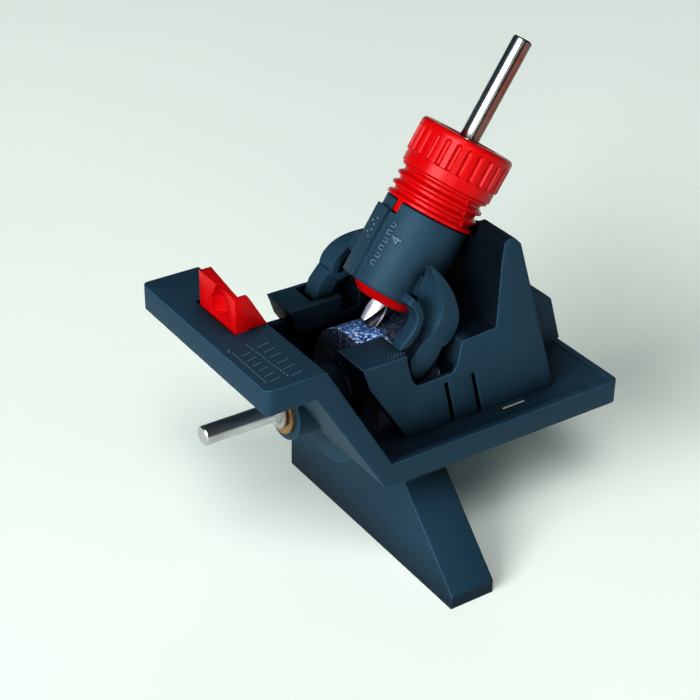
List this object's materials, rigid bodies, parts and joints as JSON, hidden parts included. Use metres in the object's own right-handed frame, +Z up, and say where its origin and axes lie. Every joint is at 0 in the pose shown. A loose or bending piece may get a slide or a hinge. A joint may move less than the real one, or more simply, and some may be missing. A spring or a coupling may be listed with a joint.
{
  "type": "drill bit sharpener",
  "caption": "Bench attachment driven by a power drill that grinds twist drill points: stepped base, leg, stone housing, and a tilted bit holder with cam wings.",
  "frame": {"origin": "centre of the leg's foot, where it stands on the bench", "axes": "+X along the grinding spindle away from its drive shank, +Z up, -Y towards the near cheek"},
  "size_m": [0.1711, 0.1222, 0.2119],
  "materials": {
    "grey_plastic": "fine moulded texture",
    "red_plastic": "moulded, slightly glossy",
    "bright_steel": "turned and ground",
    "screw_steel": "zinc plated",
    "bronze": "sintered bronze",
    "stone": "coarse abrasive grain",
    "drill_steel": "ground and polished"
  },
  "bodies": {
    "root": {"base_frame": "grey_plastic", "support_leg": "grey_plastic", "wheel_trough": "grey_plastic", "near_housing": "grey_plastic", "far_housing": "grey_plastic", "rear_cover": "grey_plastic", "near_guide_hook": "grey_plastic", "far_guide_hook": "grey_plastic", "leg_screws": "screw_steel", "housing_screws": "screw_steel", "front_bush": "bronze", "rear_bush": "bronze"},
    "spindle": {"drive_spindle": "bright_steel", "wheel_nut": "bright_steel", "inner_flange": "grey_plastic", "outer_flange": "grey_plastic", "spindle_circlip": "screw_steel", "thrust_washer": "screw_steel", "grinding_wheel": "stone"},
    "holder": {"holder_sleeve": "grey_plastic", "near_cam_wing": "grey_plastic", "far_cam_wing": "grey_plastic"},
    "collet": {"collet_body": "red_plastic", "nose_ring": "red_plastic", "collet_jaws": "bright_steel"},
    "clamp_nut": {"clamp_nut": "red_plastic"},
    "drill_bit": {"drill_bit": "drill_steel"},
    "gauge": {"setting_gauge": "red_plastic", "gauge_clip": "grey_plastic", "gauge_screw": "screw_steel"}
  },
  "joints": [
    {"name": "spindle_spin", "type": "hinge", "parent": "root", "child": "spindle", "pos_m": [0, 0, 0.0772], "axis": [1, 0, 0], "continuous": true},
    {"name": "holder_turn", "type": "hinge", "parent": "root", "child": "holder", "pos_m": [0.00436, 0, 0.12752], "axis": [0.5519, 0, 0.8339], "range_deg": [-8, 2]},
    {"name": "collet_slide", "type": "slide", "parent": "holder", "child": "collet", "axis": [0.5519, 0, 0.8339], "range_m": [0, 0.006]},
    {"name": "clamp_turn", "type": "hinge", "parent": "collet", "child": "clamp_nut", "pos_m": [0.02919, 0, 0.16504], "axis": [0.5519, 0, 0.8339], "continuous": true},
    {"name": "bit_slide", "type": "slide", "parent": "collet", "child": "drill_bit", "axis": [0.5519, 0, 0.8339], "range_m": [0, 0.025]},
    {"name": "gauge_slide", "type": "slide", "parent": "root", "child": "gauge", "axis": [0, 1, 0], "range_m": [0, 0.0025]}
  ]
}
